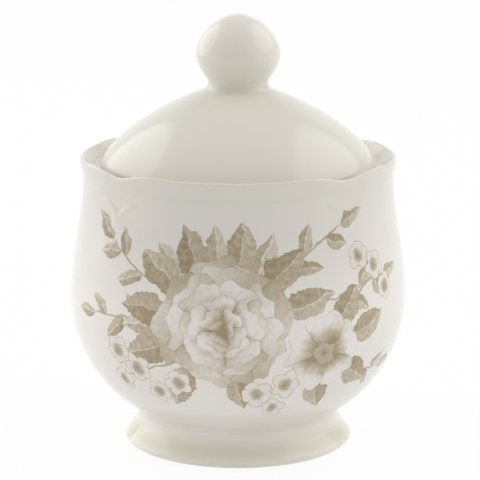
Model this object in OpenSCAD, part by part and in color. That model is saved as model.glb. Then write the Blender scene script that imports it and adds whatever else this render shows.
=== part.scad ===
// Lidded sugar bowl: a round-bellied bowl on a pedestal foot, and a domed lid
// with a ball knob that rests on a gallery ledge inside the lip.
// Millimetres, +Z up. The origin is on the table, at the centre of the foot.

/* [Bowl] */
// Widest diameter of the belly
belly_d = 104; // [98:0.5:110]
// Height of the belly's widest line above the table
belly_z = 48; // [45:0.5:51]
// Radius of the curve from the belly down to the waist
belly_curve_r = 41.6; // [40:0.2:46]
// How far the neck draws in from the belly, on one side
neck_inset = 4; // [2:0.1:6]
// Height of the neck above the table
neck_z = 86; // [80:0.5:88]
// Height of the lip above the table
bowl_h = 91.8; // [90:0.2:98]
// How far the lip turns out from the neck, on one side
lip_flare = 0.8; // [0.2:0.1:2]
// Thickness of the bowl's wall
wall = 3; // [2.4:0.1:3.6]
// Thickness of the lip
lip_wall = 2.6; // [2:0.1:3.2]
// Thickness of the bowl's floor over the foot
floor_t = 4.5; // [3.5:0.1:7]

/* [Lip dents] */
// Number of shallow dents round the lip
dent_count = 4; // [3:1:8]
// Depth of a dent at its middle
dent_depth = 1.5; // [0.4:0.1:2]
// Radius of the curve of a dent
dent_curve_r = 28; // [16:1:48]

/* [Gallery] */
// Depth of the lid's seat below the lip
seat_drop = 3.8; // [2.8:0.1:5]
// How far the lid's edge laps over the gallery ledge
seat_lap = 3.8; // [3:0.1:5]
// Thickness of the gallery ledge at its bore
ledge_t = 2.4; // [1.8:0.1:3.2]

/* [Foot] */
// Height of the waist, where the foot meets the bowl
foot_h = 10.5; // [9:0.5:13]
// Radius of the hollow curve between belly and waist
waist_curve_r = 3; // [2:0.2:4.5]
// How far the foot spreads out from the waist, on one side
foot_spread = 3.9; // [2.5:0.1:6]
// Height of the foot's rounded edge
foot_edge_h = 2.8; // [2.6:0.1:4]
// Width of the rounding under the foot's edge
foot_corner_w = 5.6; // [2:0.1:6]
// Thickness of the foot's wall at the waist
foot_wall = 3.6; // [3:0.1:4.4]
// Width of the flat ring that the foot stands on
foot_land_w = 2.4; // [1.6:0.1:3.6]

/* [Lid] */
// Gap between the lid's edge and the inside of the lip
lid_gap = 3.8; // [2.5:0.1:5]
// Height of the lid's widest line above its seat
lid_edge_h = 2; // [1.4:0.1:2.4]
// Rise of the dome above the lid's widest line
dome_h = 23.6; // [18:0.2:28]
// Fullness of the dome's outline: 2 is an ellipse, less is more pointed
dome_fullness = 1.4; // [1.3:0.05:1.7]
// Thickness of the lid at its crown
lid_wall = 3.2; // [2.6:0.1:4]

/* [Locating flange] */
// Radial clearance between the flange and the gallery's bore
flange_clearance = 1.2; // [0.6:0.1:1.6]
// Thickness of the flange
flange_t = 2.8; // [2:0.1:3.4]
// How far the flange reaches below the seat
flange_depth = 6; // [4:0.2:9]
// Width of the bevel at the flange's lower outer edge
flange_bevel = 0.9; // [0.4:0.1:1.2]

/* [Knob] */
// Widest diameter of the knob
knob_d = 26; // [23:0.2:30]
// Diameter of the neck under the knob
knob_neck_d = 18.8; // [15:0.2:20]
// Radius of the hollow curve from the neck to the lid
knob_cove_r = 3; // [2:0.1:4]
// Depth of the knob's underside below its widest line, if it closed to a point
knob_under_h = 14; // [11:0.2:17]
// Fullness of the underside's outline: 2 is an ellipse, less is more pointed
knob_under_fullness = 1.6; // [1.5:0.05:2]
// Rise of the knob's top above its widest line
knob_top_h = 12.2; // [10:0.1:14]
// Fullness of the top's outline: 2 is an ellipse, less is more pointed
knob_top_fullness = 1.75; // [1.5:0.05:2]
// Thickness of the knob's base at its rim, where it is luted to the lid
knob_base_t = 0.5; // [0.3:0.1:1]

/* [Hidden] */
$fn = 96;

// Colours of the glaze: the belly is a little cooler than the rest
body_glaze = [0.93, 0.92, 0.89];
cream_glaze = [0.92, 0.90, 0.85];

// Radii of the bowl, from the belly inwards
belly_r = belly_d / 2;
neck_r = belly_r - neck_inset;
lip_r = neck_r + lip_flare;
lip_in_r = lip_r - lip_wall;
lid_r = lip_in_r - lid_gap;
bore_r = lid_r - seat_lap;

// Centre of the belly's lower curve, and the waist that follows from it
curve_c = belly_r - belly_curve_r;
waist_drop = belly_z - foot_h;
waist_c = curve_c + sqrt(pow(belly_curve_r + waist_curve_r, 2) - pow(waist_drop, 2));
waist_r = waist_c - waist_curve_r;
waist_a = asin(waist_drop / (belly_curve_r + waist_curve_r));

// The bowl's inside
floor_z = foot_h + floor_t;
inner_curve_r = belly_curve_r - wall;
floor_a = asin((belly_z - floor_z) / inner_curve_r);
seat_z = bowl_h - seat_drop;
ledge_z = seat_z - ledge_t;
neck_in_r = neck_r - wall;
// The ledge's underside slopes back to the wall at this fall for each millimetre inwards
ledge_slope = 1;
ledge_root_z = ledge_z - (neck_in_r - bore_r) * ledge_slope;

// The foot
foot_r = waist_r + foot_spread;

// The lid, from its seat up
lid_edge_z = seat_z + lid_edge_h;
flange_r = bore_r - flange_clearance;
flange_in_r = flange_r - flange_t;
knob_r = knob_d / 2;
knob_neck_r = knob_neck_d / 2;
knob_base_r = knob_neck_r + knob_cove_r;
knob_base_z = lid_edge_z + dome_h * rise(knob_base_r / lid_r, dome_fullness);
knob_neck_z = knob_base_z + knob_base_t + knob_cove_r;

// The neck's hollow curve runs on past its narrowest line, to meet the knob's underside
cove_lean = 25;
under_r = knob_base_r - knob_cove_r * cos(cove_lean);
under_z = knob_neck_z + knob_cove_r * sin(cove_lean);
knob_z = under_z + knob_under_h * rise(under_r / knob_r, knob_under_fullness);

// Number of straight steps that stand for each long and each short curve
long_steps = 20;
short_steps = 8;

// Points of an arc about [c_r, c_z], from angle a0 to a1
function arc(c_r, c_z, r, a0, a1, steps) =
    [for (i = [0:steps]) let (a = a0 + (a1 - a0) * i / steps) [c_r + r * cos(a), c_z + r * sin(a)]];

// Points of an S-curve that starts and ends upright, from r0 at z0 to r1 at z1
function s_curve(r0, z0, r1, z1, steps) =
    [for (i = [0:steps]) let (t = i / steps) [(r0 + r1) / 2 + (r0 - r1) / 2 * cos(180 * t), z0 + (z1 - z0) * t]];

// Height of a superellipse quarter of unit size at the share x of its radius
function rise(x, fullness) = pow(1 - pow(x, fullness), 1 / fullness);

// Points of a superellipse quarter, from its widest point up to the radius r_end
function crown(r, z, h, fullness, r_end, steps) =
    let (a_end = acos(pow(r_end / r, fullness / 2)))
    [for (i = [0:steps]) let (a = a_end * i / steps)
        [r * pow(cos(a), 2 / fullness), z + h * pow(sin(a), 2 / fullness)]];

// The list in the other direction
function reversed(list) = [for (i = [len(list) - 1:-1:0]) list[i]];

module bowl_outline() {
    lip_round_z = bowl_h - lip_wall / 2;
    outside = concat(
        arc(waist_c, foot_h, waist_curve_r, 180, 180 - waist_a, short_steps),
        arc(curve_c, belly_z, belly_curve_r, -waist_a, 0, long_steps),
        s_curve(belly_r, belly_z, neck_r, neck_z, long_steps),
        s_curve(neck_r, neck_z, lip_r, lip_round_z, short_steps),
        arc(lip_r - lip_wall / 2, lip_round_z, lip_wall / 2, 0, 180, short_steps)
    );
    ledge = [[lip_in_r, seat_z], [bore_r, seat_z], [bore_r, ledge_z]];
    inner_wall = [
        for (p = reversed(s_curve(belly_r - wall, belly_z, neck_in_r, neck_z, long_steps)))
            if (p[1] < ledge_root_z) p
    ];
    inside = concat(
        ledge,
        inner_wall,
        arc(curve_c, belly_z, inner_curve_r, 0, -floor_a, long_steps),
        [[0, floor_z], [0, foot_h]]
    );
    polygon(concat(outside, inside));
}

module bowl_body() {
    dent_z = bowl_h - dent_depth + dent_curve_r;
    color(body_glaze)
    difference() {
        rotate_extrude() bowl_outline();
        for (i = [0:dent_count - 1])
            rotate([0, 0, (i + 0.5) * 360 / dent_count])
            translate([lip_r - 2 * lip_wall, 0, dent_z])
            rotate([0, 90, 0])
            cylinder(h = 4 * lip_wall, r = dent_curve_r);
    }
}

module foot_ring() {
    // The flare is a quarter wave: upright at the waist, and leaning out most at the edge
    flare = [
        for (i = [0:long_steps])
            let (t = i / long_steps)
            [foot_r - foot_spread * sin(90 * t), foot_edge_h + (foot_h - foot_edge_h) * t]
    ];
    // The corner is a quarter ellipse from the flat land up to the edge
    corner = [
        for (i = [0:short_steps - 1])
            let (a = 90 * i / short_steps)
            [foot_r - foot_corner_w * (1 - sin(a)), foot_edge_h * (1 - cos(a))]
    ];
    land_in_r = foot_r - foot_corner_w - foot_land_w;
    color(cream_glaze)
    rotate_extrude()
    polygon(concat(
        corner,
        flare,
        [[waist_r - foot_wall, foot_h], [land_in_r, 0]]
    ));
}

module lid_dome() {
    edge = arc(lid_r - lid_edge_h, lid_edge_z, lid_edge_h, -90, 0, short_steps);
    outside = crown(lid_r, lid_edge_z, dome_h, dome_fullness, knob_base_r, long_steps);
    // The hollow is an ellipse that springs from the inside of the flange
    hollow_h = knob_base_z - lid_wall - seat_z;
    inside = reversed(crown(flange_in_r, seat_z, hollow_h, 2, 0, long_steps));
    color(cream_glaze)
    rotate_extrude()
    polygon(concat(edge, outside, [[0, knob_base_z]], inside));
}

module lid_flange() {
    foot_z = seat_z - flange_depth;
    color(cream_glaze)
    rotate_extrude()
    polygon([
        [flange_in_r, foot_z],
        [flange_r - flange_bevel, foot_z],
        [flange_r, foot_z + flange_bevel],
        [flange_r, seat_z],
        [flange_in_r, seat_z]
    ]);
}

module lid_knob() {
    cove = arc(knob_base_r, knob_neck_z, knob_cove_r, 270, 180 - cove_lean, short_steps);
    under = reversed(crown(knob_r, knob_z, -knob_under_h, knob_under_fullness, under_r, long_steps));
    top = crown(knob_r, knob_z, knob_top_h, knob_top_fullness, 0, long_steps);
    color(cream_glaze)
    rotate_extrude()
    polygon(concat([[0, knob_base_z], [knob_base_r, knob_base_z]], cove, under, top));
}

bowl_body();
foot_ring();
lid_dome();
lid_flange();
lid_knob();
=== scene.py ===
from math import acos, asin, atan2, cos, degrees, exp, pi, radians, sin, sqrt, tan

import bpy
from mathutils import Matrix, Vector


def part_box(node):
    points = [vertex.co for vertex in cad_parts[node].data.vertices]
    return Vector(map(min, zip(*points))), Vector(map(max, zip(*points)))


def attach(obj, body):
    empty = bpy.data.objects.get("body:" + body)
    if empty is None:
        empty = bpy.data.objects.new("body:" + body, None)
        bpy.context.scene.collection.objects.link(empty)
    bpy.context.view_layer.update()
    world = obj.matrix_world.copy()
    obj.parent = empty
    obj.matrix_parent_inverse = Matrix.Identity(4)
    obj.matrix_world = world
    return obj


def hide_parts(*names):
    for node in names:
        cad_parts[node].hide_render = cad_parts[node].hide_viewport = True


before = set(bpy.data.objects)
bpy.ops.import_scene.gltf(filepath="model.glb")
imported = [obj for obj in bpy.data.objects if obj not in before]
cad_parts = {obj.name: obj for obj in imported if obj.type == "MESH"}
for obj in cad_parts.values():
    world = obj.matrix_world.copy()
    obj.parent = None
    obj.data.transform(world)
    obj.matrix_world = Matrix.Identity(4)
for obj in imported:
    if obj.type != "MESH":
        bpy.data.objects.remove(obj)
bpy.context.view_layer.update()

# ------------------------------------------------------------------ foot ring
# The pedestal foot: a hollow porcelain ring, turned to a cove that spreads to a rounded edge and
# luted under the bowl while the clay is leather-hard. It stands on a narrow flat land that is
# wiped clean of glaze before firing, so that it doesn't stick to the kiln shelf.

MM = 0.001


def size_of(name):
    """The widest radius, the lowest height and the highest height of a CAD node, in millimetres."""
    low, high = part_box(name)
    return high[0] / MM, low[2] / MM, high[2] / MM


def arc(centre_r, centre_z, radius, start, end, steps):
    """Outline points along an arc between two angles in degrees."""
    angles = [radians(start + (end - start) * i / steps) for i in range(steps + 1)]
    return [(centre_r + radius * cos(a), centre_z + radius * sin(a)) for a in angles]


def s_curve(r0, z0, r1, z1, steps):
    """Outline points of an S-curve that starts and ends upright."""
    shares = [i / steps for i in range(steps + 1)]
    return [((r0 + r1) / 2 + (r0 - r1) / 2 * cos(pi * t), z0 + (z1 - z0) * t) for t in shares]


def lathe(name, outline, steps):
    """Turns an outline of (radius, height) points in millimetres about the upright axis."""
    weld_gap = 0.002 * MM
    sharp_edge = 40
    bpy.ops.object.select_all(action="DESELECT")
    bpy.ops.mesh.primitive_plane_add(size=MM)
    piece = bpy.context.object
    piece.name = piece.data.name = name
    bpy.ops.object.mode_set(mode="EDIT")
    # The plane closes to one point, which is drawn out along the outline
    bpy.ops.mesh.merge(type="CENTER")
    at_r, at_z = 0, 0
    for i, (r, z) in enumerate(outline):
        move = ((r - at_r) * MM, 0, (z - at_z) * MM)
        if i == 0:
            bpy.ops.transform.translate(value=move)
        else:
            bpy.ops.mesh.extrude_region_move(TRANSFORM_OT_translate={"value": move})
        at_r, at_z = r, z
    bpy.ops.object.mode_set(mode="OBJECT")
    bpy.ops.object.modifier_add(type="SCREW")
    turn = piece.modifiers["Screw"]
    turn.steps = turn.render_steps = steps
    turn.use_merge_vertices = True
    turn.merge_threshold = weld_gap
    bpy.ops.object.modifier_apply(modifier="Screw")
    bpy.ops.object.mode_set(mode="EDIT")
    bpy.ops.mesh.select_all(action="SELECT")
    bpy.ops.mesh.remove_doubles(threshold=weld_gap)
    bpy.ops.mesh.normals_make_consistent(inside=False)
    bpy.ops.object.mode_set(mode="OBJECT")
    bpy.ops.object.shade_smooth_by_angle(angle=radians(sharp_edge))
    return piece


# The foot meets the bowl at the waist, where a small hollow curve runs into the belly's curve
foot_r, _, foot_h = size_of("foot_ring")
bowl_r, _, bowl_h = size_of("bowl_body")
belly_z = 48
belly_curve_r = 41.6
waist_curve_r = 3
curve_centre = bowl_r - belly_curve_r
waist_drop = belly_z - foot_h
waist_centre = curve_centre + sqrt((belly_curve_r + waist_curve_r) ** 2 - waist_drop**2)
waist_r = waist_centre - waist_curve_r
foot_edge_h = 2.8
foot_corner_w = 5.6
foot_land_w = 2.4
foot_wall = 3.6
land_r = foot_r - foot_corner_w
land_in_r = land_r - foot_land_w
under_edge = [
    (foot_r - foot_corner_w * (1 - sin(a)), foot_edge_h * (1 - cos(a)))
    for a in (pi / 2 * i / 14 for i in range(14))
]
cove = [
    (foot_r - (foot_r - waist_r) * sin(pi / 2 * t), foot_edge_h + (foot_h - foot_edge_h) * t)
    for t in (i / 24 for i in range(25))
]
# Inside, the wall comes down to the land, whose inner edge is rounded
foot_inside = [
    (waist_r - foot_wall, foot_h),
    (land_in_r - 0.9, 3.0),
    (land_in_r - 0.5, 1.0),
    (land_in_r - 0.2, 0.35),
    (land_in_r + 0.2, 0),
    (land_r, 0),
]
foot = lathe("glazed_foot", under_edge + cove + foot_inside, 256)


def node(tree, kind, inputs=None, points=(), **settings):
    """Adds a shader node with its settings and curve points, and with its inputs set or linked."""
    made = tree.nodes.new(kind)
    for setting, value in settings.items():
        setattr(made, setting, value)
    if points:
        curve = made.mapping.curves[0]
        for x, y in points[1:-1]:
            curve.points.new(x, y)
        curve.points[0].location = points[0]
        curve.points[-1].location = points[-1]
        made.mapping.update()
    for socket, value in (inputs or {}).items():
        if isinstance(value, bpy.types.NodeSocket):
            tree.links.new(value, made.inputs[socket])
        else:
            made.inputs[socket].default_value = value
    return made


def colour(code):
    """An sRGB hex colour as linear RGBA."""
    parts = [int(code[i:i + 2], 16) / 255 for i in (1, 3, 5)]
    return [p / 12.92 if p <= 0.04045 else ((p + 0.055) / 1.055) ** 2.4 for p in parts] + [1]


def ivory_glaze(name, thin_and_lit, pooled_and_shaded, pools_and_painted_shade, bare=-1):
    """Porcelain under a clear fired glaze: glossy and ivory, and darker in bands by height.

    Each band is given by its lowest and highest heights and its darkest one, in millimetres. On the
    lid's pieces a band is glaze that pools warmer; on the bowl and the foot it is painted light and
    painted shade. Below the height bare, the glaze is wiped off.
    """
    cloud_size = 25 * MM
    speck_gap = 20 * MM
    ripple_size = 2 * MM
    ripple_depth = 0.05 * MM
    wiped_edge = 0.15
    glaze_ior = 1.5
    material = bpy.data.materials.new(name)
    material.use_nodes = True
    tree = material.node_tree
    shader = tree.nodes["Principled BSDF"]
    place = node(tree, "ShaderNodeTexCoord").outputs["Object"]
    height = node(tree, "ShaderNodeSeparateXYZ", {"Vector": place}).outputs["Z"]
    # Slow clouding keeps the glaze from looking like one flat coat of paint
    cloud = node(
        tree, "ShaderNodeTexNoise", {"Vector": place, "Scale": 1 / cloud_size, "Detail": 2}
    ).outputs["Fac"]
    share = node(
        tree, "ShaderNodeMapRange", {"Value": cloud, "From Min": 0.35, "From Max": 0.7, "To Max": 0.3}
    ).outputs[0]
    # Each band mixes in the darker colour: pooled glaze on the lid's pieces, painted light and shade on
    # the bowl and the foot
    for low, high, darkest_z in pools_and_painted_shade:
        slopes = [
            node(
                tree, "ShaderNodeMapRange",
                {"Value": height, "From Min": end * MM, "From Max": darkest_z * MM},
                interpolation_type="SMOOTHSTEP",
            ).outputs[0]
            for end in (low, high)
        ]
        both = {0: slopes[0], 1: slopes[1]}
        pool_and_painted_shade = node(tree, "ShaderNodeMath", both, operation="MULTIPLY").outputs[0]
        share = node(tree, "ShaderNodeMath", {0: share, 1: pool_and_painted_shade}, operation="MAXIMUM").outputs[0]
    coat = node(
        tree, "ShaderNodeMix", {"Factor": share, "A": colour(thin_and_lit), "B": colour(pooled_and_shaded)}, data_type="RGBA"
    ).outputs["Result"]
    # A few iron specks, about 0.3 mm across, have come through from the clay
    grit = node(
        tree, "ShaderNodeTexVoronoi", {"Vector": place, "Scale": 1 / speck_gap}
    ).outputs["Distance"]
    speck = node(
        tree, "ShaderNodeMapRange", {"Value": grit, "From Min": 0.012, "From Max": 0.006, "To Max": 0.8}
    ).outputs[0]
    coat = node(
        tree, "ShaderNodeMix", {"Factor": speck, "A": coat, "B": colour("#6E5B45")}, data_type="RGBA"
    ).outputs["Result"]
    # Bare fired clay is chalky and a little browner
    wiped = node(
        tree, "ShaderNodeMapRange",
        {"Value": height, "From Min": (bare + wiped_edge) * MM, "From Max": bare * MM},
    ).outputs[0]
    coat = node(
        tree, "ShaderNodeMix", {"Factor": wiped, "A": coat, "B": colour("#D8CDB9")}, data_type="RGBA"
    ).outputs["Result"]
    gloss = node(tree, "ShaderNodeMapRange", {"Value": cloud, "To Min": 0.12, "To Max": 0.19}).outputs[0]
    rough = node(
        tree, "ShaderNodeMix", {"Factor": wiped, "A": gloss, "B": 0.8}, data_type="FLOAT"
    ).outputs["Result"]
    # The fine orange-peel of a fired glaze softens its highlights
    peel = node(
        tree, "ShaderNodeTexNoise", {"Vector": place, "Scale": 1 / ripple_size, "Detail": 1}
    ).outputs["Fac"]
    ripple = node(
        tree, "ShaderNodeBump", {"Height": peel, "Strength": 0.08, "Distance": ripple_depth}
    ).outputs[0]
    tree.links.new(coat, shader.inputs["Base Color"])
    tree.links.new(rough, shader.inputs["Roughness"])
    tree.links.new(ripple, shader.inputs["Normal"])
    shader.inputs["IOR"].default_value = glaze_ior
    return material


# The foot's glaze is darker in the middle of its cove and lighter at its bottom edge: painted shade in
# the cove, and painted light from the white floor at the edge
foot_glaze = ivory_glaze("ivory_foot_glaze", "#F9F6ED", "#E9E5D3", [(1, 10, 5)], bare=0.1)
foot.data.materials.append(foot_glaze)
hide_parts("foot_ring")
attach(foot, "bowl")

# ------------------------------------------------------------------ bowl
# The bowl: slip-cast porcelain, 3 mm thick, glazed inside and out, with a sepia transfer print under
# the glaze on its front. Its lip thins to a fine edge and dips in four soft dents, and a gallery
# ledge cast inside the mouth carries the lid.

neck_inset = 4
neck_z = 86
lip_flare = 0.8
wall = 3
floor_t = 4.5
lid_r, seat_z, dome_z = size_of("lid_dome")
seat_lap = 3.8
ledge_t = 2.4
ledge_round_r = 0.7
neck_r = bowl_r - neck_inset
lip_r = neck_r + lip_flare
lip_edge_r = 0.75
mouth_lean = 40
mouth_cove_r = 1.2
bore_r = lid_r - seat_lap
floor_z = foot_h + floor_t
inner_curve_r = belly_curve_r - wall
floor_a = degrees(asin((belly_z - floor_z) / inner_curve_r))
floor_corner_a = 7
waist_a = degrees(asin(waist_drop / (belly_curve_r + waist_curve_r)))

# The shoulder has its points three times as close where the moulded lines are
moulded_from_z = 73
shoulder = [
    point
    for i, point in enumerate(s_curve(bowl_r, belly_z, neck_r, neck_z, 111))
    if i and (point[1] > moulded_from_z or i % 3 == 0)
]
outside = (
    arc(waist_centre, foot_h, waist_curve_r, 180, 180 - waist_a, 8)
    + arc(curve_centre, belly_z, belly_curve_r, -waist_a, 0, 28)[1:]
    + shoulder
    + s_curve(neck_r, neck_z, lip_r, bowl_h - lip_edge_r, 14)[1:]
    + arc(lip_r - lip_edge_r, bowl_h - lip_edge_r, lip_edge_r, 0, 180 - mouth_lean, 10)[1:]
)

# Inside its thin edge the mouth slopes in to the gallery
edge_in_r, edge_in_z = outside[-1]
root_z = seat_z + mouth_cove_r * (1 - sin(radians(mouth_lean)))
root_r = edge_in_r - (edge_in_z - root_z) * tan(radians(mouth_lean))
mouth = [
    (edge_in_r + (root_r - edge_in_r) * i / 6, edge_in_z + (root_z - edge_in_z) * i / 6)
    for i in range(1, 6)
]
mouth_cove_centre = root_r - mouth_cove_r * cos(radians(mouth_lean))
ledge_round_at = bore_r + ledge_round_r
ledge_low_z = seat_z - ledge_t + 0.3
gallery = (
    mouth
    + arc(mouth_cove_centre, seat_z + mouth_cove_r, mouth_cove_r, -mouth_lean, -90, 5)
    + arc(ledge_round_at, seat_z - ledge_round_r, ledge_round_r, 90, 180, 5)
    + arc(ledge_round_at, ledge_low_z, ledge_round_r, 180, 225, 3)
)

# Below the ledge the wall runs down to the floor, and meets it in a soft corner
ledge_root_z = seat_z - ledge_t - (neck_r - wall - bore_r)
inner_wall = [
    point
    for point in reversed(s_curve(bowl_r - wall, belly_z, neck_r - wall, neck_z, 22))
    if point[1] < ledge_root_z
]
inner_curve = arc(curve_centre, belly_z, inner_curve_r, 0, floor_corner_a - floor_a, 22)[1:]
corner_r = inner_curve[-1][0]
inner_floor = [(corner_r - 2.2, floor_z + 0.45), (corner_r - 5, floor_z), (0, floor_z)]
inside = gallery + inner_wall + inner_curve + inner_floor
bowl = lathe("glazed_bowl", [(0, foot_h)] + outside + inside, 480)


def smooth(start, end, x):
    """Eases from 0 at start to 1 at end."""
    t = min(max((x - start) / (end - start), 0), 1)
    return t * t * (3 - 2 * t)


# The dents and the low shoulders beside them are measured in degrees from the middle of a dent
dent_gap = 90
lip_drop = 0.45
dent_drop = 1.25
dent_width = 7.5
dent_pinch = 0.5
pinch_width = 9
shoulder_rise = 0.4
shoulder_at = 16
shoulder_width = 8
pinch_from_z = 70
bend_from_z = 76
inner_bend_from_z = seat_z + 0.6
full_bend_z = bowl_h - 1.3
outer_from_r = neck_r - 0.5
# A moulded line over a groove follows each lobe, and ends below each dent in a scroll
relief_h = 0.2
relief_line_w = 0.75
line_z = 87.9
groove_z = 86.4
line_from = 14
line_full_from = 22
scroll_at = 6.6
scroll_z = 76.4
scroll_r = 6
scroll_line_w = 0.95
for vertex in bowl.data.vertices:
    x, y, z = (c / MM for c in vertex.co)
    if z < pinch_from_z:
        continue
    r = sqrt(x * x + y * y)
    a = abs((degrees(atan2(x, -y)) + 360) % dent_gap - dent_gap / 2)
    outer = r > outer_from_r
    hump = shoulder_rise * exp(-((a - shoulder_at) / shoulder_width) ** 2)
    rise = hump - dent_drop * exp(-(a / dent_width) ** 2) - lip_drop
    bend = smooth(bend_from_z if outer else inner_bend_from_z, full_bend_z, z)
    squeeze = smooth(pinch_from_z, full_bend_z, z) if outer else bend
    pinch = dent_pinch * exp(-(a / pinch_width) ** 2) * squeeze
    if outer and z < full_bend_z:
        line = exp(-((z - line_z) / relief_line_w) ** 2) - exp(-((z - groove_z) / relief_line_w) ** 2)
        across = (radians(a) * neck_r - scroll_at) / scroll_r
        up = (z - scroll_z) / scroll_r
        off_scroll = (sqrt(across**2 + up**2) - 1) * scroll_r
        quarter = smooth(0.4, -0.1, across) * smooth(-0.4, 0.1, up)
        scroll = exp(-(off_scroll / scroll_line_w) ** 2) * quarter
        pinch -= relief_h * (0.5 * line * smooth(line_from, line_full_from, a) + scroll)
    vertex.co = (x * (1 - pinch / r) * MM, y * (1 - pinch / r) * MM, (z + rise * bend) * MM)

# The print has a flat sheet: millimetres round the belly, and millimetres up from the waist
climb = [0]
for (r0, z0), (r1, z1) in zip(outside, outside[1:]):
    climb.append(climb[-1] + sqrt((r1 - r0) ** 2 + (z1 - z0) ** 2))


def climb_at(z):
    """How far up the outside of the bowl a height is, along the surface from the waist."""
    for (_, z0), (_, z1), c0, c1 in zip(outside, outside[1:], climb, climb[1:]):
        if z <= z1:
            return c0 + (c1 - c0) * (z - z0) / (z1 - z0)
    return climb[-1]


sheet = bowl.data.uv_layers.new(name="print_sheet")
panels = bowl.data.uv_layers.new(name="OFBake")
corners = [
    (atan2(v.co.x, -v.co.y), sqrt(v.co.x**2 + v.co.y**2) / MM, v.co.z / MM) for v in bowl.data.vertices
]
climbs = [climb_at(z) for _, _, z in corners]
girth = 2 * pi * bowl_r
print_left = -70
print_right = 80
print_w = print_right - print_left
print_middle = (print_left + print_right) / 2
unprinted = -60
base_below_z = foot_h + 0.2
wall_weight = 1.6
inside_depth = wall_weight * bowl_h + lip_r
# The baked colours share one square sheet, 1 wide and 1 high. It gives most of its room to the
# print, and less to the back, the inside and the base: each has its x, width, y and height there
front_panel = (0.5, 0.98, 0.43, 0.56)
back_panel = (0.01, 0.78, 0.22, 0.2)
inside_panel = (0.5, 0.99, 0.2, -0.19)
base_panel = (0.9, 0.09, 0.32, 0.09)
for face in bowl.data.polygons:
    middle = atan2(face.center.x, -face.center.y)
    faces_out = face.normal.x * face.center.x + face.normal.y * face.center.y > 0
    under = face.center.z < base_below_z * MM
    for loop in face.loop_indices:
        corner = bowl.data.loops[loop].vertex_index
        turn, r, z = corners[corner]
        turn = middle if r < 0.01 else turn + 2 * pi * round((middle - turn) / (2 * pi))
        around = turn * bowl_r
        up = climbs[corner] / climb[-1]
        sheet.data[loop].uv = (around, climbs[corner] if faces_out else unprinted)
        if under:
            x, width, y, height = base_panel
            share = (r / bowl_r * sin(turn), r / bowl_r * cos(turn))
        elif not faces_out:
            x, width, y, height = inside_panel
            share = (around / girth, (wall_weight * (bowl_h - z) + lip_r - r) / inside_depth)
        elif print_left < middle * bowl_r < print_right:
            x, width, y, height = front_panel
            share = ((around - print_middle) / print_w, up)
        else:
            x, width, y, height = back_panel
            round_back = around + girth if around < 0 else around
            share = ((round_back - print_right) / (girth - print_w), up)
        panels.data[loop].uv = (x + width * share[0], y + height * share[1])

# The print: a full peony, an open wild rose, sprigs of leaves and small blossoms. It is built up
# from the back to the front, each motif over the last. Nearly a hundred motifs have to fit into one
# material, so they work on plain numbers, and ease from value to value with no extra clamping.

# The bowl's glaze is lighter low on the belly and darker up to the neck, darkest at 88 mm: painted light
# from the floor's bounce below, and painted shade above
body_glaze = ivory_glaze("printed_body_glaze", "#F4F0EA", "#E4E0D7", [(38, 140, 88)])
body = body_glaze.node_tree
eased = {"clamp": False, "interpolation_type": "SMOOTHSTEP"}


def motif(name, *values):
    """Starts a printed motif, which grows from its place along 0 to 1 and is 1 wide to each side."""
    group = bpy.data.node_groups.new(name, "ShaderNodeTree")
    for value in ("Round", "Up", "Tone", "Mottle", "X", "Y", "Turn", "Length", "Half", *values):
        group.interface.new_socket(name=value, in_out="INPUT", socket_type="NodeSocketFloat")
    group.interface.new_socket(name="Tone", in_out="OUTPUT", socket_type="NodeSocketFloat")
    given = node(group, "NodeGroupInput").outputs
    cosine = node(group, "ShaderNodeMath", {0: given["Turn"]}, operation="COSINE").outputs[0]
    sine = node(group, "ShaderNodeMath", {0: given["Turn"]}, operation="SINE").outputs[0]
    back = node(group, "ShaderNodeMath", {0: 0.0, 1: given["Half"]}, operation="SUBTRACT").outputs[0]
    right, rise = [
        node(group, "ShaderNodeMath", {0: given[spot], 1: given[start]}, operation="SUBTRACT").outputs[0]
        for spot, start in (("Round", "X"), ("Up", "Y"))
    ]
    # The place on the sheet is turned to the motif's own direction, in shares of its size
    turned = []
    for shares in [
        ((cosine, given["Length"]), (sine, given["Length"])),
        ((sine, back), (cosine, given["Half"])),
    ]:
        by_right, by_rise = [
            node(group, "ShaderNodeMath", {0: share, 1: size}, operation="DIVIDE").outputs[0]
            for share, size in shares
        ]
        part = node(group, "ShaderNodeMath", {0: right, 1: by_right}, operation="MULTIPLY").outputs[0]
        whole = {0: rise, 1: by_rise, 2: part}
        turned.append(node(group, "ShaderNodeMath", whole, operation="MULTIPLY_ADD").outputs[0])
    along, across = turned
    # A motif that bends leaves its line by the square of how far it has grown
    if "Bend" in values:
        square = node(group, "ShaderNodeMath", {0: along, 1: along}, operation="MULTIPLY").outputs[0]
        sway = node(group, "ShaderNodeMath", {0: 0.0, 1: given["Bend"]}, operation="SUBTRACT").outputs[0]
        bent = {0: square, 1: sway, 2: across}
        across = node(group, "ShaderNodeMath", bent, operation="MULTIPLY_ADD").outputs[0]
    return group, given, along, across


def lay(group, given, mask, ink):
    """Ends a motif: its ink covers the tone below it inside its mask."""
    laid = node(group, "ShaderNodeMix", {"Factor": mask, "A": given["Tone"], "B": ink}, data_type="FLOAT")
    node(group, "NodeGroupOutput", {"Tone": laid.outputs["Result"]})


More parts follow.
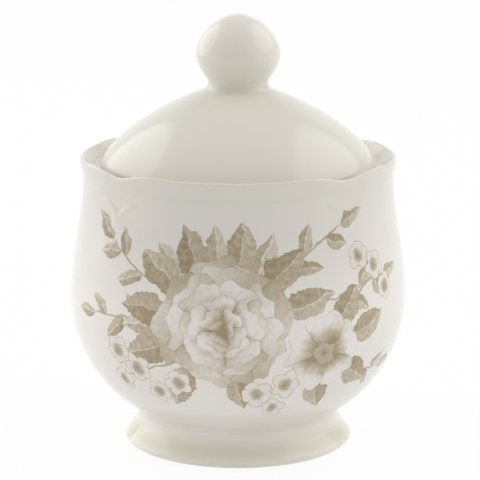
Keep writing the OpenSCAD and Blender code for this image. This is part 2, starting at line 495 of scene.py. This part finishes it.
# Leaf: toothed edge, pale midrib and side veins, one half darker than the other
leaf, given, along, across = motif("printed_leaf", "Bend", "Ink")
leaf_width = [
    (0, 0), (0.04, 0.3), (0.15, 0.72), (0.35, 1), (0.55, 0.93), (0.75, 0.62), (0.9, 0.25), (1, 0),
]
half_tooth = 1 / 18
half_vein_gap = 1 / 12
aside = node(leaf, "ShaderNodeMath", {0: across}, operation="ABSOLUTE").outputs[0]
teeth = node(leaf, "ShaderNodeMath", {0: along, 1: half_tooth}, operation="PINGPONG").outputs[0]
notch = node(leaf, "ShaderNodeMath", {0: teeth, 1: -1.5, 2: 1.0}, operation="MULTIPLY_ADD").outputs[0]
width = node(leaf, "ShaderNodeFloatCurve", {"Value": along}, points=leaf_width).outputs[0]
inner = node(leaf, "ShaderNodeMath", {0: width, 1: notch}, operation="MULTIPLY").outputs[0]
inner = node(leaf, "ShaderNodeMath", {0: inner, 1: aside}, operation="SUBTRACT").outputs[0]
inner = node(leaf, "ShaderNodeMath", {0: inner, 1: given["Half"]}, operation="MULTIPLY").outputs[0]
mask = node(leaf, "ShaderNodeMapRange", {"Value": inner, "From Max": 0.3}, **eased).outputs[0]
ribs = node(leaf, "ShaderNodeMath", {0: aside, 1: given["Half"]}, operation="MULTIPLY").outputs[0]
midrib = {"From Min": 0.34, "From Max": 0.1, "To Max": -0.3}
ribs = node(leaf, "ShaderNodeMapRange", {"Value": ribs, **midrib}, **eased).outputs[0]
slant = node(leaf, "ShaderNodeMath", {0: aside, 1: -0.15, 2: along}, operation="MULTIPLY_ADD").outputs[0]
veins = node(leaf, "ShaderNodeMath", {0: slant, 1: half_vein_gap}, operation="PINGPONG").outputs[0]
side_veins = {"From Min": 0.013, "From Max": 0, "To Max": -0.16}
veins = node(leaf, "ShaderNodeMapRange", {"Value": veins, **side_veins}, **eased).outputs[0]
outline = {"From Min": 0.5, "From Max": 0.1, "To Max": 0.14}
edge = node(leaf, "ShaderNodeMapRange", {"Value": inner, **outline}, **eased).outputs[0]
fold = node(leaf, "ShaderNodeMath", {0: across}, operation="SIGN").outputs[0]
halved = {0: fold, 1: 0.13, 2: given["Ink"]}
ink = node(leaf, "ShaderNodeMath", halved, operation="MULTIPLY_ADD").outputs[0]
ink = node(leaf, "ShaderNodeMath", {0: along, 1: -0.16, 2: ink}, operation="MULTIPLY_ADD").outputs[0]
mottled = {0: given["Mottle"], 1: 0.55, 2: ink}
ink = node(leaf, "ShaderNodeMath", mottled, operation="MULTIPLY_ADD").outputs[0]
for part in (ribs, veins, edge):
    ink = node(leaf, "ShaderNodeMath", {0: ink, 1: part}, operation="ADD").outputs[0]
lay(leaf, given, mask, ink)

# Petal: dark at its root, pale towards a ruffled tip, with fine streaks and a fine dark outline
petal, given, along, across = motif("printed_petal", "Bend", "Root", "Tip", "Side")
petal_width = [
    (0, 0), (0.1, 0.34), (0.3, 0.62), (0.5, 0.87), (0.7, 1), (0.85, 0.93), (0.95, 0.6), (1, 0),
]
ruffle = node(petal, "ShaderNodeMath", {0: across, 1: 5.5}, operation="MULTIPLY").outputs[0]
ruffle = node(petal, "ShaderNodeMath", {0: ruffle}, operation="SINE").outputs[0]
ruffle = node(petal, "ShaderNodeMath", {0: ruffle, 1: 0.05, 2: 1.0}, operation="MULTIPLY_ADD").outputs[0]
along = node(petal, "ShaderNodeMath", {0: along, 1: ruffle}, operation="MULTIPLY").outputs[0]
width = node(petal, "ShaderNodeFloatCurve", {"Value": along}, points=petal_width).outputs[0]
aside = node(petal, "ShaderNodeMath", {0: across}, operation="ABSOLUTE").outputs[0]
inner = node(petal, "ShaderNodeMath", {0: width, 1: aside}, operation="SUBTRACT").outputs[0]
inner = node(petal, "ShaderNodeMath", {0: inner, 1: given["Half"]}, operation="MULTIPLY").outputs[0]
to_tip = node(petal, "ShaderNodeMath", {0: 1.0, 1: along}, operation="SUBTRACT").outputs[0]
to_tip = node(petal, "ShaderNodeMath", {0: to_tip, 1: given["Length"]}, operation="MULTIPLY").outputs[0]
inner = node(petal, "ShaderNodeMath", {0: inner, 1: to_tip}, operation="MINIMUM").outputs[0]
mask = node(petal, "ShaderNodeMapRange", {"Value": inner, "From Max": 0.25}, **eased).outputs[0]
fade = {"From Min": 0.05, "From Max": 0.8, "To Min": given["Root"], "To Max": given["Tip"]}
shade = node(petal, "ShaderNodeMapRange", {"Value": along, **fade}, **eased).outputs[0]
full = node(petal, "ShaderNodeMath", {0: width, 1: 0.1}, operation="MAXIMUM").outputs[0]
lateral = node(petal, "ShaderNodeMath", {0: across, 1: full}, operation="DIVIDE").outputs[0]
sided = {0: lateral, 1: given["Side"], 2: shade}
ink = node(petal, "ShaderNodeMath", sided, operation="MULTIPLY_ADD").outputs[0]
outline = {"From Min": 0.55, "From Max": 0.05, "To Max": 0.42}
edge = node(petal, "ShaderNodeMapRange", {"Value": inner, **outline}, **eased).outputs[0]
ink = node(petal, "ShaderNodeMath", {0: ink, 1: edge}, operation="ADD").outputs[0]
streak = node(petal, "ShaderNodeMath", {0: lateral, 1: 16}, operation="MULTIPLY").outputs[0]
streak = node(petal, "ShaderNodeMath", {0: streak}, operation="SINE").outputs[0]
near_root = {"From Min": 0.8, "From Max": 0.1, "To Max": 0.08}
by_root = node(petal, "ShaderNodeMapRange", {"Value": along, **near_root}, **eased).outputs[0]
ink = node(petal, "ShaderNodeMath", {0: streak, 1: by_root, 2: ink}, operation="MULTIPLY_ADD").outputs[0]
mottled = {0: given["Mottle"], 1: 0.3, 2: ink}
ink = node(petal, "ShaderNodeMath", mottled, operation="MULTIPLY_ADD").outputs[0]
lay(petal, given, mask, ink)

# Blossom: five round pale petals in outline, with shaded roots, stamens and a dark eye
blossom, given, along, across = motif("printed_blossom", "Pale", "Line")
petal_r = 0.43
petal_at = 0.57
half_petal = pi / 5
stamen_at = 0.33
stamen_count = 10
reach = node(blossom, "ShaderNodeMath", {0: along, 1: along}, operation="MULTIPLY").outputs[0]
squares = {0: across, 1: across, 2: reach}
reach = node(blossom, "ShaderNodeMath", squares, operation="MULTIPLY_ADD").outputs[0]
reach = node(blossom, "ShaderNodeMath", {0: reach}, operation="SQRT").outputs[0]
angle = node(blossom, "ShaderNodeMath", {0: across, 1: along}, operation="ARCTAN2").outputs[0]
fifth = node(blossom, "ShaderNodeMath", {0: angle, 1: half_petal}, operation="PINGPONG").outputs[0]
fifth = node(blossom, "ShaderNodeMath", {0: half_petal, 1: fifth}, operation="SUBTRACT").outputs[0]
out = node(blossom, "ShaderNodeMath", {0: fifth}, operation="COSINE").outputs[0]
moved = {0: out, 1: reach, 2: -petal_at}
out = node(blossom, "ShaderNodeMath", moved, operation="MULTIPLY_ADD").outputs[0]
side = node(blossom, "ShaderNodeMath", {0: fifth}, operation="SINE").outputs[0]
side = node(blossom, "ShaderNodeMath", {0: side, 1: reach}, operation="MULTIPLY").outputs[0]
side = node(blossom, "ShaderNodeMath", {0: side, 1: side}, operation="MULTIPLY").outputs[0]
inner = node(blossom, "ShaderNodeMath", {0: out, 1: out, 2: side}, operation="MULTIPLY_ADD").outputs[0]
inner = node(blossom, "ShaderNodeMath", {0: inner}, operation="SQRT").outputs[0]
inner = node(blossom, "ShaderNodeMath", {0: petal_r, 1: inner}, operation="SUBTRACT").outputs[0]
hub = node(blossom, "ShaderNodeMath", {0: 0.25, 1: reach}, operation="SUBTRACT").outputs[0]
mask = node(blossom, "ShaderNodeMath", {0: inner, 1: hub}, operation="MAXIMUM").outputs[0]
mask = node(blossom, "ShaderNodeMapRange", {"Value": mask, "From Max": 0.05}, **eased).outputs[0]
outline = {"From Min": 0.11, "From Max": 0.02, "To Max": given["Line"]}
edge = node(blossom, "ShaderNodeMapRange", {"Value": inner, **outline}, **eased).outputs[0]
shaded = {"From Min": 0.62, "From Max": 0.12, "To Min": given["Pale"], "To Max": 0.75}
root = node(blossom, "ShaderNodeMapRange", {"Value": reach, **shaded}, **eased).outputs[0]
tip = node(blossom, "ShaderNodeMath", {0: reach, 1: stamen_at}, operation="SUBTRACT").outputs[0]
tip = node(blossom, "ShaderNodeMath", {0: tip}, operation="ABSOLUTE").outputs[0]
tip_dots = {"From Min": 0.09, "From Max": 0.03}
tip = node(blossom, "ShaderNodeMapRange", {"Value": tip, **tip_dots}, **eased).outputs[0]
rays = node(blossom, "ShaderNodeMath", {0: angle, 1: stamen_count}, operation="MULTIPLY").outputs[0]
rays = node(blossom, "ShaderNodeMath", {0: rays}, operation="COSINE").outputs[0]
stamens = node(blossom, "ShaderNodeMath", {0: rays, 1: tip}, operation="MULTIPLY").outputs[0]
pupil = {"From Min": 0.15, "From Max": 0.09, "To Max": 0.9}
eye = node(blossom, "ShaderNodeMapRange", {"Value": reach, **pupil}, **eased).outputs[0]
ink = root
for part in (edge, stamens, eye):
    ink = node(blossom, "ShaderNodeMath", {0: ink, 1: part}, operation="MAXIMUM").outputs[0]
lay(blossom, given, mask, ink)

# Stem: a fine bent line of even tone
stem, given, along, across = motif("printed_stem", "Bend", "Ink")
aside = node(stem, "ShaderNodeMath", {0: across}, operation="ABSOLUTE").outputs[0]
middle = node(stem, "ShaderNodeMath", {0: along, 1: 0.5}, operation="SUBTRACT").outputs[0]
middle = node(stem, "ShaderNodeMath", {0: middle}, operation="ABSOLUTE").outputs[0]
cut = {"From Min": 0.5, "From Max": 0.48}
ends = node(stem, "ShaderNodeMapRange", {"Value": middle, **cut}, **eased).outputs[0]
line = {"From Min": 1.0, "From Max": 0.4, "To Max": ends}
mask = node(stem, "ShaderNodeMapRange", {"Value": aside, **line}, **eased).outputs[0]
lay(stem, given, mask, given["Ink"])

# The layout, in millimetres on the sheet and degrees: each motif's kind, place, turn and size
motifs = []
stem_half = 0.45
stem_ink = 0.6
leaf_lean = 48
bend_by_lean = -0.006


def draw(group, x, y, turn, length, half_width, **values):
    """Adds one motif to the layout, over all that is drawn before it."""
    values.update({"X": x, "Y": y, "Turn": radians(turn), "Length": length, "Half": half_width})
    motifs.append((group, values))


def sprig(x, y, turn, length, bow, leaves):
    """A bowed stem with leaves on alternate sides, given by place along it, length, width and ink.

    The last leaf stands on the stem's end, at place 1.
    """
    draw(stem, x, y, turn, length, stem_half, Bend=bow / stem_half, Ink=stem_ink)
    for i, (place, leaf_length, leaf_w, ink) in enumerate(leaves):
        along_stem = place * length
        off_stem = bow * place**2
        leaf_x = x + along_stem * cos(radians(turn)) - off_stem * sin(radians(turn))
        leaf_y = y + along_stem * sin(radians(turn)) + off_stem * cos(radians(turn))
        heading = turn + degrees(2 * bow * place / length)
        lean = 0 if place == 1 else leaf_lean * (-1) ** (i + 1)
        bend = bend_by_lean * lean
        draw(leaf, leaf_x, leaf_y, heading + lean, leaf_length, leaf_w / 2, Bend=bend, Ink=ink)


# Five sprigs reach out behind the flowers: two to the left and three to the right
upper_left = [(0.35, 11, 5.4, 0.7), (0.5, 11, 5.2, 0.62), (0.75, 10, 5, 0.72), (0.85, 10, 4.8, 0.6)]
middle_left = [(0.3, 11, 5.2, 0.66), (0.55, 11, 5, 0.74), (0.8, 9, 4.4, 0.62)]
upper_right = [(0.35, 11, 5.4, 0.74), (0.5, 11, 5.2, 0.62), (0.8, 9, 4.6, 0.7)]
middle_right = [(0.55, 11, 5.2, 0.7), (0.7, 10, 4.8, 0.62), (0.85, 9, 4.4, 0.72)]
lower_right = [(0.6, 9, 4.4, 0.7), (0.8, 9, 4.2, 0.6)]
sprig(-14, 53, 160, 31, -5, upper_left + [(1, 12, 5, 0.7)])
sprig(-18, 44, 170, 30, 4, middle_left + [(1, 11, 4.6, 0.68)])
sprig(12, 56, 46, 30, -6, upper_right + [(1, 12, 5.2, 0.66)])
sprig(18, 48, 20, 38, -5, middle_right + [(1, 11, 4.6, 0.6)])
sprig(36, 30, -22, 22, 5, lower_right + [(1, 10, 4.4, 0.68)])
for x, y, turn, length, bend in [(5, 32, -62, 18, 3), (-18, 34, 206, 22, -4), (38, 50, 34, 18, -3)]:
    draw(stem, x, y, turn, length, stem_half, Bend=bend, Ink=stem_ink)

# The leaves round the peony and the rose: place, turn, length, width, bend and ink
for x, y, turn, length, width, bend, ink in [
    (-13, 56, 127, 18, 8, -0.2, 0.56),
    (-3, 60, 97, 17, 8, -0.2, 0.54),
    (7, 58, 62, 17, 8, 0.2, 0.56),
    (-18, 46, 186, 18, 8, 0.2, 0.54),
    (-15, 56, 142, 17, 10.5, -0.25, 0.72),
    (-19, 49, 172, 17, 10, 0.2, 0.86),
    (-18, 40, 203, 18, 10.5, -0.25, 0.8),
    (-12, 32, 236, 17, 10, 0.25, 0.7),
    (-9, 60, 112, 17, 10.5, -0.2, 0.84),
    (3, 62, 80, 15, 9.5, 0.2, 0.7),
    (11, 57, 44, 18, 10.5, -0.25, 0.82),
    (16, 50, 12, 18, 10, 0.25, 0.72),
    (2, 30, -84, 14, 9, 0.25, 0.8),
    (34, 44, 58, 15, 9.5, -0.25, 0.84),
    (40, 40, 20, 16, 9.5, 0.25, 0.74),
    (38, 31, -28, 16, 9.5, -0.25, 0.82),
    (28, 27, -72, 14, 9, 0.25, 0.72),
]:
    draw(leaf, x, y, turn, length, width / 2, Bend=bend, Ink=ink)


def blossoms(places):
    """Small blossoms, given by place, radius and turn."""
    for x, y, radius, turn in places:
        draw(blossom, x, y, turn, radius, radius, Pale=0.04, Line=0.7)


blossoms([(-31, 30, 5.4, 7), (-38, 35, 4.8, 25), (-39, 25, 4.6, 43)])
blossoms([(51, 60, 5.0, 14), (44, 64, 4.4, 50), (56, 53, 4.2, 36)])

# The peony: whorls of petals from the outermost in, on a dark ground at its centre. Each row gives
# a whorl's petals, start, length, width, first turn, ink at the root, ink at the tip, and droop
peony_x = -2
peony_y = 46
draw(blossom, peony_x, peony_y - 1, 0, 4, 4, Pale=0.95, Line=0.95)
whorls = [
    (8, 5, 15.5, 17.5, 8, 1.1, 0.34, 0),
    (7, 4, 13.2, 15.5, 34, 1.1, 0.16, 0),
    (6, 3, 10.4, 13, 3, 1.1, 0.04, 0.3),
    (5, 2, 7.8, 10.5, 25, 1.1, 0.02, 0.6),
    (4, 1, 5.6, 8, 50, 1.1, 0.06, 0.9),
    (3, 0.2, 3.8, 5.8, 10, 1.1, 0.3, 1.2),
]
for whorl, (count, start, length, width, first, root, tip, droop) in enumerate(whorls):
    turns = [first + 360 * i / count for i in range(count)]
    for i, turn in enumerate(sorted(turns, key=lambda t: -sin(radians(t)))):
        # No two petals of a whorl are quite alike
        sway = sin(7 * i + 3 * whorl)
        turn += 7 * sway
        size = 1 + 0.08 * sin(5 * i + whorl)
        lean = 1 if sin(11 * i + 5 * whorl) > 0 else -1
        x = peony_x + start * cos(radians(turn))
        y = peony_y + start * sin(radians(turn)) * 0.9 - droop
        pale = tip + 0.1 * abs(sin(radians(turn))) + 0.08 * sway
        values = {"Bend": 0.1 * lean, "Root": root, "Tip": pale, "Side": 0.2 * lean}
        draw(petal, x, y, turn, length * size, width * size / 2, **values)

# The wild rose: five broad petals that overlap, and a dark heart, all in shares of its radius
rose_x = 30
rose_y = 36
rose_r = 12
for i in (0, 2, 4, 1, 3):
    turn = 20 + 72 * i
    lean = (-1) ** i
    x = rose_x + 0.08 * rose_r * cos(radians(turn))
    y = rose_y + 0.08 * rose_r * sin(radians(turn))
    values = {"Bend": 0.06 * lean, "Root": 1.1, "Tip": 0.0, "Side": 0.16 * lean}
    draw(petal, x, y, turn, rose_r * 0.95, rose_r * 0.56, **values)
draw(blossom, rose_x, rose_y, 0, rose_r * 0.34, rose_r * 0.34, Pale=0.62, Line=1.0)
blossoms([(9, 23, 5.6, 14), (18, 26, 5.2, 32), (15, 16.5, 4.8, 50)])
blossoms([(-17, 26, 5.2, 0), (-25, 22, 4.6, 20)])

# The motifs' edges wander a little every 4 to 5 mm, as a hand draws them, and the ink lies unevenly
# in patches of 1 to 2 mm
wander_per_mm = 0.22
mottle_per_mm = 0.6
half_range = (-0.5, -0.5, -0.5)
wander_by = (3.0, 3.0, 0)
flat = node(body, "ShaderNodeUVMap", uv_map="print_sheet").outputs[0]
wander = node(
    body, "ShaderNodeTexNoise", {"Vector": flat, "Scale": wander_per_mm, "Detail": 1}
).outputs["Color"]
wander = node(body, "ShaderNodeVectorMath", {0: wander, 1: half_range}, operation="ADD").outputs[0]
wandered = {0: wander, 1: wander_by, 2: flat}
spot = node(body, "ShaderNodeVectorMath", wandered, operation="MULTIPLY_ADD").outputs[0]
spot = node(body, "ShaderNodeSeparateXYZ", {0: spot}).outputs
mottle = node(
    body, "ShaderNodeTexNoise", {"Vector": flat, "Scale": mottle_per_mm, "Detail": 3}
).outputs["Fac"]
mottle = node(body, "ShaderNodeMath", {0: mottle, 1: 1.6, 2: -0.8}, operation="MULTIPLY_ADD").outputs[0]
tone = 0.0
for group, values in motifs:
    laid = {"Round": spot["X"], "Up": spot["Y"], "Tone": tone, "Mottle": mottle, **values}
    tone = node(body, "ShaderNodeGroup", laid, node_tree=group).outputs[0]

# Ink darkens the glaze over it as a stain does: white, half tone and full tone of sepia
stain = node(body, "ShaderNodeValToRGB", {"Fac": tone})
ramp = stain.color_ramp
ramp.elements[0].color = colour("#FFFFFF")
ramp.elements[1].color = colour("#AF9F7F")
half_tone = ramp.elements.new(0.5)
half_tone.color = colour("#D7CDB9")
body_shader = body.nodes["Principled BSDF"]
plain = body_shader.inputs["Base Color"].links[0].from_socket
stained = {"Factor": 1.0, "A": plain, "B": stain.outputs["Color"]}
printed = node(body, "ShaderNodeMix", stained, data_type="RGBA", blend_type="MULTIPLY")
body.links.new(printed.outputs["Result"], body_shader.inputs["Base Color"])
bowl.data.materials.append(body_glaze)
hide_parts("bowl_body")
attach(bowl, "bowl")

# ------------------------------------------------------------------ lid flange
# The flange: a plain ring cast in one with the lid, which drops into the bowl's bore and keeps the
# lid from sliding off. Its lower edge is rounded by a wet sponge before firing.

flange_r, flange_low, _ = size_of("lid_flange")
flange_t = 2.8
flange_round_r = 0.9
flange_in_r = flange_r - flange_t
flange_round_z = flange_low + flange_round_r
flange_outline = (
    [(flange_r - 0.35, seat_z + 0.25), (flange_r, seat_z - 0.3)]
    + arc(flange_r - flange_round_r, flange_round_z, flange_round_r, 0, -90, 5)
    + arc(flange_in_r + flange_round_r, flange_round_z, flange_round_r, -90, -180, 5)
    + [(flange_in_r, seat_z), (flange_in_r + 0.6, seat_z + 0.6)]
)
flange = lathe("glazed_flange", flange_outline + flange_outline[:1], 192)
flange_glaze = ivory_glaze(
    "ivory_flange_glaze", "#E8E3D7", "#E2DAC8", [(86, 90, 88)], bare=flange_low + 0.5
)
flange.data.materials.append(flange_glaze)
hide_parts("lid_flange")
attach(flange, "lid")

# ------------------------------------------------------------------ lid dome
# The lid: a slip-cast porcelain dome, hollow below and glazed inside and out, with a rounded edge
# that rests on the bowl's gallery. The glaze pools round its crown, where the knob is luted on.

lid_edge_h = 1.2
lid_edge_z = seat_z + lid_edge_h
dome_h = 25.1
dome_fullness = 1.4
lid_wall = 3.2
under_knob_r = 9.4


def crown(r, z, height, fullness, end_r, steps):
    """Outline points of a domed form, from its widest radius up to the radius where it ends."""
    end_a = acos((end_r / r) ** (fullness / 2))
    angles = [end_a * i / steps for i in range(steps + 1)]
    return [(r * cos(a) ** (2 / fullness), z + height * sin(a) ** (2 / fullness)) for a in angles]


dome = crown(lid_r, lid_edge_z, dome_h, dome_fullness, under_knob_r, 60)
dome_outline = (
    [(flange_in_r, seat_z), (lid_r - 1.6, seat_z)]
    + arc(lid_r - lid_edge_h, lid_edge_z, lid_edge_h, -70, 0, 8)
    + dome[1:]
    + [(0, dome[-1][1])]
)
hollow_top = dome_z - lid_wall
hollow = [
    (flange_in_r * cos(a), seat_z + (hollow_top - seat_z) * sin(a))
    for a in (pi / 2 * (1 - i / 24) for i in range(25))
]
lid = lathe("glazed_lid", dome_outline + [(0, hollow_top)] + hollow[1:], 256)
lid_glaze = ivory_glaze("ivory_lid_glaze", "#E5E1D5", "#E3DFD2", [(dome_z - 5, dome_z + 9, dome_z)])
lid.data.materials.append(lid_glaze)
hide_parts("lid_dome")
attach(lid, "lid")

# ------------------------------------------------------------------ lid knob
# The knob: a solid porcelain ball on a short neck, cast apart and luted to the crown of the dome.
# Glaze has run down it and lies thicker in the cove at its foot.

knob_r, knob_low, knob_top = size_of("lid_knob")
neck_top_r = 9.75
knob_under_h = 14
knob_under_fullness = 1.6
knob_top_h = 12.2
knob_top_fullness = 1.75
knob_waist_z = knob_top - knob_top_h
under = crown(knob_r, knob_waist_z, -knob_under_h, knob_under_fullness, neck_top_r, 24)
top = crown(knob_r, knob_waist_z, knob_top_h, knob_top_fullness, 0.001, 40)

# The cove leaves the ball at the ball's own slope, and runs out on the dome at the dome's slope.
# Its rim and the dome's slope there depend on each other, so a few rounds bring them together
end_r, end_z = under[-1]
ball_slope = atan2(under[-2][1] - end_z, under[-2][0] - end_r)
rim_z = knob_low
dome_slope = radians(20)
for _ in range(12):
    knob_cove_r = (end_z - rim_z) / (cos(ball_slope) + cos(dome_slope))
    cove_centre_r = end_r + knob_cove_r * sin(ball_slope)
    rim_r = cove_centre_r - knob_cove_r * sin(dome_slope)
    across = rim_r / lid_r
    up = (1 - across**dome_fullness) ** (1 / dome_fullness)
    rim_z = lid_edge_z + dome_h * up
    dome_slope = atan2(dome_h * (across / up) ** (dome_fullness - 1), lid_r)
cove_centre_z = end_z - knob_cove_r * cos(ball_slope)
knob_cove = arc(
    cove_centre_r, cove_centre_z, knob_cove_r, 270 - degrees(dome_slope), 90 + degrees(ball_slope), 16
)
# Its foot is sunk in the slip that joins it to the dome
knob_foot = [(0, rim_z - 1.5), (rim_r + 1.5, rim_z - 1.2), (rim_r + 0.9, rim_z - 0.42)]
knob = lathe("glazed_knob", knob_foot + knob_cove + under[::-1][1:] + top[1:], 192)
knob_glaze = ivory_glaze("ivory_knob_glaze", "#EEE9DF", "#E1DCCE", [(rim_z - 20, rim_z + 5, rim_z)])
knob.data.materials.append(knob_glaze)
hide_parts("lid_knob")
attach(knob, "lid")

# ------------------------------------------------------------------ table
# A plain white sweep. It shows to the eye and in the glaze as white paper does, whatever the lamps,
# and keeps only a soft shadow.

sweep_size = 12
sweep_glow = 0.93
bpy.ops.object.select_all(action="DESELECT")
bpy.ops.mesh.primitive_plane_add(size=sweep_size)
table = bpy.context.object
table.name = "table"
table_paint = bpy.data.materials.new("white_sweep")
table_paint.use_nodes = True
paint = table_paint.node_tree
matt = paint.nodes["Principled BSDF"]
matt.inputs["Base Color"].default_value = colour("#F6F6F6")
matt.inputs["Roughness"].default_value = 0.9
glow = node(paint, "ShaderNodeEmission", {"Color": colour("#FFFFFF"), "Strength": 1.0}).outputs[0]
rays = node(paint, "ShaderNodeLightPath").outputs
seen = rays["Is Camera Ray"]
for kind in ("Is Glossy Ray", "Is Transmission Ray"):
    seen = node(paint, "ShaderNodeMath", {0: seen, 1: rays[kind]}, operation="MAXIMUM").outputs[0]
lit = node(paint, "ShaderNodeMath", {0: seen, 1: sweep_glow}, operation="MULTIPLY").outputs[0]
blend = node(paint, "ShaderNodeMixShader", {0: lit, 1: matt.outputs[0], 2: glow}).outputs[0]
paint.links.new(blend, paint.nodes["Material Output"].inputs["Surface"])
table.data.materials.append(table_paint)

# ------------------------------------------------------------------ light
# Two wide oval soft boxes stand beside and a little behind the bowl, and the room is a dim white.
# Each is given by its turn to the right of the front, its height in degrees, its size and its watts.

lamp_away = 1.25
lamp_aim = Vector((0, 0, 90 * MM))
for name, turn, height, size, power in [
    ("left_soft_box", -116, 24, (1.42, 1.3), 6.1),
    ("right_soft_box", 105, 38, (1.75, 1.11), 4.8),
]:
    lamp_data = bpy.data.lights.new(name, "AREA")
    lamp_data.shape = "ELLIPSE"
    lamp_data.size, lamp_data.size_y = size
    lamp_data.energy = power
    lamp = bpy.data.objects.new(name, lamp_data)
    bpy.context.scene.collection.objects.link(lamp)
    turn = radians(turn)
    height = radians(height)
    level = cos(height)
    lamp.location = lamp_aim + lamp_away * Vector((sin(turn) * level, -cos(turn) * level, sin(height)))
    lamp.rotation_euler = (lamp_aim - lamp.location).to_track_quat("-Z", "Y").to_euler()

# The white sweep stands behind the bowl: the glaze mirrors it there, and a dim room in front. The
# soft light is weaker from the front and from straight behind, so that no side washes out
world = bpy.data.worlds.new("room")
bpy.context.scene.world = world
world.use_nodes = True
room = world.node_tree
rays = node(room, "ShaderNodeLightPath").outputs
way = node(room, "ShaderNodeTexCoord").outputs["Generated"]
way = node(room, "ShaderNodeSeparateXYZ", {"Vector": way}).outputs["Y"]
levels = []
for start, end, first, last in [
    (-0.8, -0.4, 0.41, 0.82),
    (0.55, 0.95, 0.0, -0.4),
    (0.65, 0.95, 0.49, 1.0),
]:
    ramped = {"Value": way, "From Min": start, "From Max": end, "To Min": first, "To Max": last}
    levels.append(node(room, "ShaderNodeMapRange", ramped, interpolation_type="SMOOTHSTEP").outputs[0])
in_front, behind, mirrored = levels
soft = node(room, "ShaderNodeMath", {0: in_front, 1: behind}, operation="ADD").outputs[0]
direct = {0: rays["Is Camera Ray"], 1: rays["Is Transmission Ray"]}
seen = node(room, "ShaderNodeMath", direct, operation="MAXIMUM").outputs[0]
strength = node(
    room, "ShaderNodeMix", {"Factor": rays["Is Glossy Ray"], "A": soft, "B": mirrored}, data_type="FLOAT"
).outputs["Result"]
strength = node(
    room, "ShaderNodeMix", {"Factor": seen, "A": strength, "B": 1.0}, data_type="FLOAT"
).outputs["Result"]
background = room.nodes["Background"]
background.inputs["Color"].default_value = colour("#FFFFFF")
room.links.new(strength, background.inputs["Strength"])

# ------------------------------------------------------------------ camera
# A long lens from a little above the rim, on the bowl's front and a touch to its right.
# It is aimed at the middle of the bowl, half a millimetre off the axis.

camera_turn = radians(3.0)
camera_away = 780
camera_h = 232.5
aim_h = 64.28
off_axis = 0.56
camera_data = bpy.data.cameras.new("camera")
camera_data.sensor_width = 36
camera_data.lens = 192.3
camera = bpy.data.objects.new("camera", camera_data)
bpy.context.scene.collection.objects.link(camera)
side = Vector((cos(camera_turn), sin(camera_turn), 0)) * off_axis * MM
tripod = Vector((sin(camera_turn) * camera_away, -cos(camera_turn) * camera_away, camera_h)) * MM
aim = Vector((0, 0, aim_h * MM)) + side
camera.location = tripod + side
camera.rotation_euler = (aim - camera.location).to_track_quat("-Z", "Y").to_euler()
bpy.context.scene.camera = camera
bpy.context.scene.view_settings.view_transform = "Standard"
